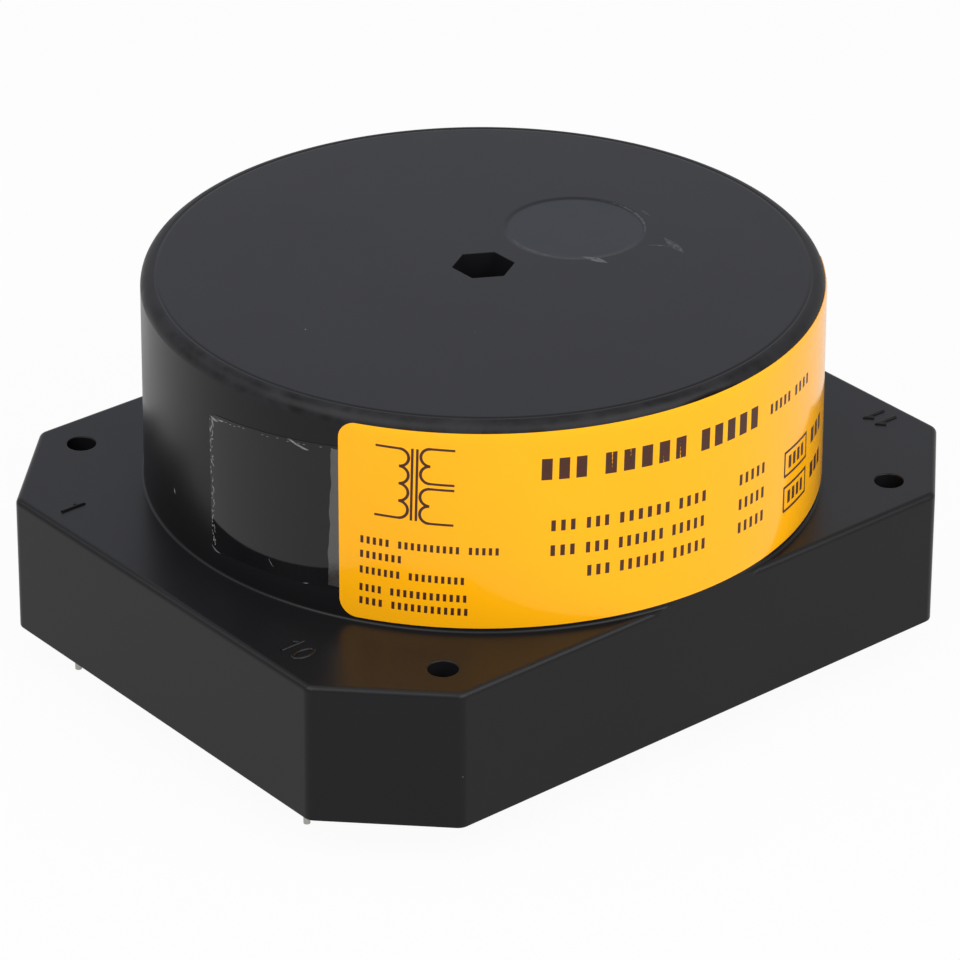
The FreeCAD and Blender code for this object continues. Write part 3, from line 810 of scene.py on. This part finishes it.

# %% [markdown]
# The moulding has small flaws on its top: a burr stands at the gate mark's front, and
# there are two scratches to its right. Pale patches on the mark's edge, at its right and
# inside its left, are painted highlights, and the burr's paleness is a painted glint. A
# bump texture could only hint at them and has no places of its own. So each is a
# thin tapered patch that lies a hundredth of a millimetre above the skin.

# %% Flaws and painted highlights in the top
SCUFF_AND_HIGHLIGHT_LIFT = 0.008
flaws_and_highlights = Build("scuffs_and_painted_highlights_on_the_top")
burr = Build("burr_with_painted_glint_at_the_gate_mark")


def scuff_and_painted_highlight(build, path, width):
    """A tapered pale patch on the top, for a scuff and for a painted highlight alike, which sinks
    with the gate mark's edge as that falls.
    """
    path = np.asarray(path, float)
    along = np.linspace(0, 1, len(path))
    half = 0.5 * width * np.sin(np.pi * np.clip(along, 0.04, 0.96))
    run = np.gradient(path, axis=0)
    run /= np.linalg.norm(run, axis=1)[:, None]
    side = np.stack([-run[:, 1], run[:, 0]], -1) * np.reshape(half, (-1, 1))
    edges = np.stack([path + side, path, path - side])
    from_centre = np.hypot(edges[..., 0] - GATE_CENTRE[0], edges[..., 1] - GATE_CENTRE[1])
    fallen = np.clip(0.5 - (from_centre - GATE_RADIUS) / GATE_SLOPE, 0, 1)
    level = TOP + SCUFF_AND_HIGHLIGHT_LIFT - GATE_DEPTH * (1 - np.cos(np.pi * fallen)) / 2
    build.grid(np.concatenate([edges, level[..., None]], -1))


# A painted highlight on the mark's right edge, a painted reflection inside its left edge,
# a nick, two scratches, and the burr, whose paleness is a painted glint.
scuff_and_painted_highlight(flaws_and_highlights, arc_path(GATE_CENTRE, GATE_RADIUS + 0.1, 28, -58, 60), 0.42)
scuff_and_painted_highlight(flaws_and_highlights, arc_path(GATE_CENTRE, GATE_RADIUS - 0.3, 160, 225, 40), 0.6)
scuff_and_painted_highlight(flaws_and_highlights, np.linspace([30.06, -0.28], [29.61, -3.03], 12), 0.45)
scuff_and_painted_highlight(flaws_and_highlights, np.linspace([26.3, -9.9], [25.1, -15.6], 16), 1.3)
scuff_and_painted_highlight(flaws_and_highlights, np.linspace([22.6, -9.9], [25.4, -13.0], 16), 0.5)
scuff_and_painted_highlight(burr, np.linspace([13.1, -6.9], [14.4, -10.9], 16), 1.3)
flaws_and_highlights_piece = flaws_and_highlights.finish(sharp_deg=180)
burr_piece = burr.finish(sharp_deg=180)

# %% [markdown]
# ## Finishes
#
# Image textures would need files beside the script, so each finish is built from
# nodes that read the object's own coordinates, in metres. One function adds a node
# with its settings and links, and one turns the usual hex colours into the linear
# ones that a shader needs.

# %% Helpers for finishes: colours, nodes and the shader
def linear(hex_colour):
    """An sRGB hex colour as linear light: c / 12.92 below 0.04045, else
    ((c + 0.055) / 1.055) ^ 2.4."""
    values = np.array([int(hex_colour[i:i + 2], 16) for i in (1, 3, 5)]) / 255
    light = np.where(values <= 0.04045, values / 12.92, ((values + 0.055) / 1.055) ** 2.4)
    return (*light.tolist(), 1.0)


def node(tree, kind, settings=None, links=None, **inputs):
    """Adds a node, sets its properties and inputs, and links other nodes' outputs to it."""
    made = tree.nodes.new(kind)
    for name, value in (settings or {}).items():
        setattr(made, name, value)
    for name, value in inputs.items():
        made.inputs[name.replace("_", " ")].default_value = value
    for name, output in (links or {}).items():
        tree.links.new(output, made.inputs[name])
    return made


def finish_named(name, **shader_inputs):
    """A new finish: its tree, its shader, and the object's own coordinates in metres."""
    material = bpy.data.materials.new(name)
    material.use_nodes = True
    tree = material.node_tree
    tree.nodes.clear()
    shader = node(tree, "ShaderNodeBsdfPrincipled", **shader_inputs)
    output = node(tree, "ShaderNodeOutputMaterial")
    tree.links.new(shader.outputs["BSDF"], output.inputs["Surface"])
    place = node(tree, "ShaderNodeTexCoord").outputs["Object"]
    return material, tree, shader, place


print("orange as linear light", [round(v, 3) for v in linear("#FFAC08")])

# %% Helpers for finishes: patterns
def scale_for(size_mm):
    """The scale at which a noise has features of this size, in object coordinates of metres."""
    return 1.0 / (size_mm * MM)


def noise(tree, place, size_mm, detail=3.0, roughness=0.55):
    """A noise whose features are of a real size."""
    return node(tree, "ShaderNodeTexNoise", links={"Vector": place}, Scale=scale_for(size_mm),
                Detail=detail, Roughness=roughness).outputs["Fac"]


def ramp(tree, value, low, high, to_low, to_high):
    """A value carried from one range to another, held at both ends."""
    return node(tree, "ShaderNodeMapRange", links={"Value": value}, From_Min=low, From_Max=high,
                To_Min=to_low, To_Max=to_high).outputs["Result"]


def mixed(tree, share, first, second):
    """Two colours mixed by a share, of which the first may be another node's output. A colour
    mix has its two colours at inputs 6 and 7, and its result at output 2."""
    made = node(tree, "ShaderNodeMix", {"data_type": "RGBA"}, {"Factor": share})
    if isinstance(first, tuple):
        made.inputs[6].default_value = first
    else:
        tree.links.new(first, made.inputs[6])
    made.inputs[7].default_value = second
    return made.outputs[2]


def bump(tree, height, distance_mm, strength=1.0):
    """A bump of a real height in millimetres."""
    return node(tree, "ShaderNodeBump", links={"Height": height}, Strength=strength,
                Distance=distance_mm * MM).outputs["Normal"]


def dress(tree, shader, colour, roughness, normal=None):
    """Links a finish's colour, roughness and bump to its shader."""
    tree.links.new(colour, shader.inputs["Base Color"])
    tree.links.new(roughness, shader.inputs["Roughness"])
    if normal is not None:
        tree.links.new(normal, shader.inputs["Normal"])


print("a pattern of 0.55 mm has the scale", round(scale_for(0.55)))

# %% [markdown]
# The housing is a glass-filled thermoplastic, moulded in a spark-eroded tool. Its
# skin is nearly black with a satin grain, and where the melt ran in clouds a few
# centimetres wide it is a touch smoother. Real grain of this kind is about 0.1 mm,
# finer than a pixel of the render, so it is drawn at 0.55 mm to show. One even
# black would look like a drawing, and real grooves as geometry would take millions
# of faces, so the grain is a bump of 6 thousandths of a millimetre.

# %% Moulded plastic
GRAINED = 0.19      # a grained skin mirrors less than a polished one, for which this is 0.5
moulded, tree, shader, place = finish_named("satin_moulded_thermoplastic", IOR=1.5, Metallic=0.0,
                                            Specular_IOR_Level=GRAINED)
cloud = noise(tree, place, 26.0, 3.0)
grain = noise(tree, place, 0.55, 4.0, 0.6)
# A few specks of dust, about 0.2 mm wide: one in a cell of 2.6 mm, and only in rare patches.
flecks = node(tree, "ShaderNodeTexVoronoi", links={"Vector": place}, Scale=scale_for(2.6),
              Randomness=1.0)
speck = ramp(tree, flecks.outputs["Distance"], 0.028, 0.05, 1.0, 0.0)
rarely = ramp(tree, noise(tree, place, 9.0, 1.0), 0.66, 0.7, 0.0, 1.0)
dust = node(tree, "ShaderNodeMath", {"operation": "MULTIPLY"}, {0: speck, 1: rarely}).outputs[0]
body = mixed(tree, cloud, linear("#0F0F11"), linear("#151517"))
dress(tree, shader, mixed(tree, dust, body, linear("#8C8A86")),
      ramp(tree, cloud, 0.3, 0.7, 0.27, 0.34), bump(tree, grain, 0.006, 0.5))
print("moulded plastic made")

# %% Moulded plastic: gate mark, rounding and scuffs
# The gate mark was polished in the tool: it is more even than the grain. Its lighter,
# bluer base colour is a painted reflection of the bluish light on its smooth face.
smoother, tree, shader, place = finish_named("polished_gate_mark_painted_sheen", IOR=1.5, Metallic=0.0,
                                             Specular_IOR_Level=0.22)
cloud = noise(tree, place, 5.0, 3.0)
dress(tree, shader, mixed(tree, cloud, linear("#15181D"), linear("#1D2127")),
      ramp(tree, cloud, 0.3, 0.7, 0.30, 0.38), bump(tree, noise(tree, place, 0.9, 2.0), 0.006, 0.5))

# The rounding is the tool's turned edge: it is rougher than the flats and scatters the light.
# Its base colour streaks from darker to lighter than the skin: a painted, patchy sheen.
rounding, tree, shader, place = finish_named("rougher_turned_rounding_painted_sheen", IOR=1.5, Metallic=0.0,
                                             Specular_IOR_Level=GRAINED)
streaks = ramp(tree, noise(tree, place, 4.0, 5.0, 0.65), 0.35, 0.65, 0.0, 1.0)
dress(tree, shader, mixed(tree, streaks, linear("#08080A"), linear("#1E1E21")),
      ramp(tree, streaks, 0.0, 1.0, 0.36, 0.5), bump(tree, noise(tree, place, 0.6, 3.0), 0.02, 0.8))

# A scuff tears the grain open, in bits under a millimetre wide: it is paler and quite matt.
# The same pale finish paints the highlights on the gate mark's edge.
scuffs_and_painted_highlights, tree, shader, place = finish_named("scuffed_plastic_and_painted_highlights", IOR=1.5, Metallic=0.0,
                                            Specular_IOR_Level=GRAINED)
patch_mottle = ramp(tree, noise(tree, place, 0.9, 4.0, 0.7), 0.38, 0.62, 0.0, 1.0)
dress(tree, shader, mixed(tree, patch_mottle, linear("#1B1C1F"), linear("#45464B")),
      ramp(tree, patch_mottle, 0.3, 0.7, 0.4, 0.6))
print("housing finishes made")

# %% [markdown]
# The label is a polyester film, dyed orange-yellow, with a glossy face. It lies on
# a slightly uneven wall, so its gloss wavers over some 7 mm. The ink is dark brown
# and flatter than the film. The clear film could be made see-through, but it is
# stuck to a black wall, where it only looks like a smoother black. An opaque gloss
# shows that.

# %% Films and ink
orange, tree, shader, place = finish_named("orange_polyester_film", IOR=1.5, Metallic=0.0,
                                           Specular_IOR_Level=0.26)
tone = noise(tree, place, 32.0, 2.0)
dress(tree, shader, mixed(tree, tone, linear("#FFAC08"), linear("#FFB60C")),
      ramp(tree, noise(tree, place, 3.0), 0.3, 0.7, 0.10, 0.15),
      bump(tree, noise(tree, place, 7.0, 2.0), 0.02, 0.35))

# Screen ink dries with a fine mottle: the eye sees a flat brown, not a black.
brown_ink, tree, shader, place = finish_named("dark_brown_screen_ink", IOR=1.5, Metallic=0.0,
                                              Specular_IOR_Level=0.3)
patch_mottle = noise(tree, place, 0.8, 3.0)
dress(tree, shader, mixed(tree, patch_mottle, linear("#3A1C12"), linear("#4E2A1A")),
      ramp(tree, patch_mottle, 0.3, 0.7, 0.36, 0.46))

# Calendered film on the wall mirrors the room sharply, in a black with no grain.
clear, tree, shader, place = finish_named("clear_polyester_on_black_wall", IOR=1.6, Metallic=0.0,
                                          Specular_IOR_Level=0.25)
tone = noise(tree, place, 12.0, 2.0)
dress(tree, shader, mixed(tree, tone, linear("#0B0B0D"), linear("#111113")),
      ramp(tree, tone, 0.3, 0.7, 0.03, 0.06), bump(tree, noise(tree, place, 5.0, 2.0), 0.012, 0.3))

# Off the wall both of its faces mirror, and crinkles of a millimetre make it a pale haze.
# That haze is a painted reflection: a pale, brownish base colour.
hazy, tree, shader, place = finish_named("clear_polyester_off_the_wall", IOR=1.6, Metallic=0.0,
                                         Specular_IOR_Level=0.8)
tone = noise(tree, place, 1.6, 3.0)
dress(tree, shader, mixed(tree, tone, linear("#282523"), linear("#3A3532")),
      ramp(tree, tone, 0.3, 0.7, 0.12, 0.2), bump(tree, noise(tree, place, 0.9, 3.0), 0.02, 0.6))

# Small bubbles under the film scatter the light: a grey-white without gloss.
pale_air, tree, shader, place = finish_named("trapped_air_haze", IOR=1.45)
dress(tree, shader, mixed(tree, noise(tree, place, 0.5), linear("#545457"), linear("#8C8C8F")),
      ramp(tree, noise(tree, place, 0.7), 0.3, 0.7, 0.5, 0.7))
print("film finishes made")

# %% [markdown]
# The pins are tinned wire, which is a dull, slightly cloudy metal. The resin is cast
# and levels itself, so it is glossy with a faint swell. The wound ring is buried, but
# its pieces still get the finish that they have when it is cut open. All of these
# could share one grey, but a part that is taken apart should explain itself. They
# differ only in tone, gloss and the size of their patches, so one function makes
# them from those values.

# %% A simple finish
def simple_finish(name, first, second, size_mm, rough_low, rough_high, bump_mm, metallic, ior=1.5):
    """A finish of two tones in patches of a real size, with its own roughness and bump."""
    material, tree, shader, place = finish_named(name, Metallic=metallic, IOR=ior)
    patches = noise(tree, place, size_mm, 4.0)
    dress(tree, shader, mixed(tree, patches, linear(first), linear(second)),
          ramp(tree, patches, 0.3, 0.7, rough_low, rough_high),
          bump(tree, noise(tree, place, size_mm / 3, 3.0), bump_mm, 0.5))
    return material


# Hot-dipped tin solidifies in cloudy patches about a millimetre wide.
tinned = simple_finish("tinned_wire", "#B4B2AC", "#D2D0CA", 1.2, 0.28, 0.42, 0.01, 1.0)
# Cast epoxy is level but for a swell over the parts below it, some 18 mm apart.
resin = simple_finish("cast_black_resin", "#0E0E10", "#16161A", 18.0, 0.08, 0.2, 0.08, 0.0, 1.52)
# Torn plastic at the gate mark: rough in bits of under a millimetre, paler than the skin.
# That paleness is a painted glint on the burr.
burr_with_painted_glint = simple_finish("burr_with_painted_glint", "#2C2D30", "#505156", 0.8, 0.4, 0.55, 0.01, 0.0)
print("tin, resin and burr made")

# %% The wound ring
# Rolled silicon steel, wound from strip: a bright grey with a faint mill mottle.
strip_steel = simple_finish("strip_wound_silicon_steel", "#8C8F94", "#A3A6AA", 2.0, 0.3, 0.45,
                            0.02, 1.0)
# Lapped polyester tape, whose laps of some 6 mm give its sheen a slow waver.
clear_tape = simple_finish("polyester_winding_tape", "#C9B878", "#D8CA92", 6.0, 0.25, 0.4,
                           0.03, 0.0)
yellow_tape = simple_finish("yellow_outer_tape", "#C8A63A", "#D8B84A", 6.0, 0.3, 0.42, 0.03, 0.0)
# Enamel over copper: the metal's colour under a smooth, glossy coat.
copper = simple_finish("enamelled_copper_wire", "#A85A2C", "#C06E38", 1.5, 0.2, 0.32, 0.02, 1.0)
# Extruded insulation, matt and evenly red.
lead_skin = simple_finish("lead_insulation_sleeve", "#8E1F18", "#A32A20", 2.0, 0.4, 0.5, 0.02, 0.0)

DRESSED = {"potting_resin": resin, "toroid_core": strip_steel, "core_insulation": clear_tape,
           "primary_winding": copper, "winding_insulation": clear_tape,
           "secondary_winding_a": copper, "secondary_winding_b": copper,
           "outer_insulation": yellow_tape}
dressed = 0
for name, cad_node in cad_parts.items():
    finish = tinned if name.startswith("pin_") else lead_skin if name.startswith("lead_") \
        else DRESSED.get(name)
    if finish is not None:
        cad_node.data.materials.clear()
        cad_node.data.materials.append(finish)
        dressed += 1
print("nodes dressed", dressed)

# %% [markdown]
# Now each new piece gets its finish, rides on the part, and stands for the node that
# it is drawn over. The housing carries three finishes. Each could be a piece of its
# own, but then their edges would have to meet, so the faces of one mesh are told
# apart instead.

# %% Put the pieces on the part
for piece, finish, slot, stands_for in (
        (housing_piece, moulded, "moulded_housing", ["housing"]),
        (rails_piece, moulded, "moulded_housing", []),
        (flaws_and_highlights_piece, scuffs_and_painted_highlights, "moulded_housing", []),
        (burr_piece, burr_with_painted_glint, "moulded_housing", []),
        (label_piece, orange, "label_film", ["rating_label"]),
        (ink_piece, brown_ink, "label_film", []),
        (clear_piece, clear, "clear_film", ["clear_film"]),
        (haze_piece, hazy, "clear_film", []),
        (air_piece, pale_air, "clear_film", [])):
    piece.data.materials.append(finish)
    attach(piece, "root")
    if stands_for:
        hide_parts(*stands_for)
housing_piece.data.materials.append(smoother)
housing_piece.data.materials.append(rounding)
material_index = np.zeros(len(housing_piece.data.polygons), np.int32)
GATE_FINISH, ROUNDING_FINISH = 1, 2     # their places in the housing's list of finishes
material_index[gate_faces] = GATE_FINISH
material_index[rim_faces] = ROUNDING_FINISH
housing_piece.data.polygons.foreach_set("material_index", material_index)
print("pieces placed")

# %% [markdown]
# ## Stage and light
#
# The part stands on a pale floor that shows white, to the camera and in the gloss of
# the part, and still takes a shadow. More light could make the floor white too, but
# would wash out the part. So the floor's own brightness is mixed in by the kind of
# ray: the camera sees nearly white, and the light that falls on the part is left
# alone.

# %% What each kind of ray sees
def background_rays(tree, in_gloss):
    """How much a ray shows of the white background: 1 for the camera's own and those through
    glass, and in_gloss for those in gloss, as a studio is darker away from what is pictured."""
    ray = node(tree, "ShaderNodeLightPath")
    direct = node(tree, "ShaderNodeMath", {"operation": "MAXIMUM"},
                  {0: ray.outputs["Is Camera Ray"], 1: ray.outputs["Is Transmission Ray"]})
    mirrored = node(tree, "ShaderNodeMath", {"operation": "MULTIPLY"},
                    {0: ray.outputs["Is Glossy Ray"]})
    mirrored.inputs[1].default_value = in_gloss
    return node(tree, "ShaderNodeMath", {"operation": "MAXIMUM"},
                {0: direct.outputs[0], 1: mirrored.outputs[0]}).outputs[0]


print("background helper made")

# %% Floor
FLOOR_LEVEL, FLOOR_REACH = -6.0, 2500.0
# Gloss shows half of the white. A twentieth stays the floor's own shade, which takes the shadow.
FLOOR_IN_GLOSS, FLOOR_WHITE = 0.5, 0.95
plan = [(-1, -1), (1, -1), (1, 1), (-1, 1)]
floor_mesh = bpy.data.meshes.new("floor")
floor_mesh.from_pydata([(x * FLOOR_REACH * MM, y * FLOOR_REACH * MM, FLOOR_LEVEL * MM)
                        for x, y in plan], [], [(0, 1, 2, 3)])
floor = bpy.data.objects.new("floor", floor_mesh)
bpy.context.scene.collection.objects.link(floor)

# A painted board, so matt that it shows no reflection of the part.
pale, tree, shader, place = finish_named("pale_floor", IOR=1.45)
tone = noise(tree, place, 400.0, 1.0)
tree.links.new(mixed(tree, tone, linear("#BEBEBE"), linear("#C2C2C2")), shader.inputs["Base Color"])
shader.inputs["Roughness"].default_value = 0.9
white = node(tree, "ShaderNodeEmission", Strength=1.0)
white.inputs["Color"].default_value = (1, 1, 1, 1)
share = node(tree, "ShaderNodeMath", {"operation": "MULTIPLY"},
             {0: background_rays(tree, FLOOR_IN_GLOSS)}).outputs[0]
share.node.inputs[1].default_value = FLOOR_WHITE
blend = node(tree, "ShaderNodeMixShader", links={"Fac": share})
tree.links.new(shader.outputs["BSDF"], blend.inputs[1])
tree.links.new(white.outputs["Emission"], blend.inputs[2])
output = next(n for n in tree.nodes if n.type == "OUTPUT_MATERIAL")
tree.links.new(blend.outputs["Shader"], output.inputs["Surface"])
floor_mesh.materials.append(pale)
print("floor at", FLOOR_LEVEL, "mm")

# %% [markdown]
# The world gives an even fill and shows white where the floor ends. The lamps are
# large and near, so that their gloss on the plastic has no hard edge. A sky or a
# studio image could light the part as well, but lamps with names can be moved one
# by one until each face has the tone that it has in the photograph.

# %% World
WORLD_FILL, WORLD_IN_GLOSS = 0.46, 0.25
world = bpy.data.worlds.new("studio")
bpy.context.scene.world = world
world.use_nodes = True
tree = world.node_tree
tree.nodes.clear()
soft = node(tree, "ShaderNodeBackground", Strength=WORLD_FILL)
soft.inputs["Color"].default_value = (0.98, 0.98, 1.0, 1)
bright = node(tree, "ShaderNodeBackground", Strength=1.0)
bright.inputs["Color"].default_value = (1, 1, 1, 1)
blend = node(tree, "ShaderNodeMixShader", links={"Fac": background_rays(tree, WORLD_IN_GLOSS)})
tree.links.new(soft.outputs["Background"], blend.inputs[1])
tree.links.new(bright.outputs["Background"], blend.inputs[2])
output = node(tree, "ShaderNodeOutputWorld")
tree.links.new(blend.outputs["Shader"], output.inputs["Surface"])
print("world fill", WORLD_FILL)

# %% Lamps
LAMP_AIM = np.array([0, 0, 25])     # every lamp points at the middle of the part


def lamp(name, around_deg, above_deg, distance_mm, width_mm, height_mm, watts, colour=(1, 1, 1)):
    """A soft rectangular lamp turned towards the part, at an angle round it and one above it."""
    data = bpy.data.lights.new(name, "AREA")
    data.shape = "RECTANGLE"
    data.size, data.size_y = width_mm * MM, height_mm * MM
    data.energy = watts
    data.color = colour
    made = bpy.data.objects.new(name, data)
    bpy.context.scene.collection.objects.link(made)
    around, above = math.radians(around_deg), math.radians(above_deg)
    back = np.array([math.cos(above) * math.cos(around), math.cos(above) * math.sin(around),
                     math.sin(above)])
    side = np.cross([0, 0, 1], back)
    side /= np.linalg.norm(side)
    turn = Matrix(np.column_stack([side, np.cross(back, side), back]).tolist())
    made.matrix_world = Matrix.Translation((LAMP_AIM + back * distance_mm) * MM) @ turn.to_4x4()


# Each lamp: name, angle round the part, angle above, distance, width, height, watts and colour.
lamp("front_softbox", -80, 38, 750, 800, 600, 4.6)
lamp("left_softbox", -175, 45, 750, 700, 600, 3.4)
lamp("overhead_softbox", -135, 86, 800, 700, 700, 1.2)
lamp("left_back_softbox", 128, 36, 800, 300, 300, 0.3)
lamp("blue_backdrop", 62, 32, 950, 900, 500, 0.3, (0.55, 0.65, 1.0))
bpy.context.scene.view_settings.view_transform = "Standard"
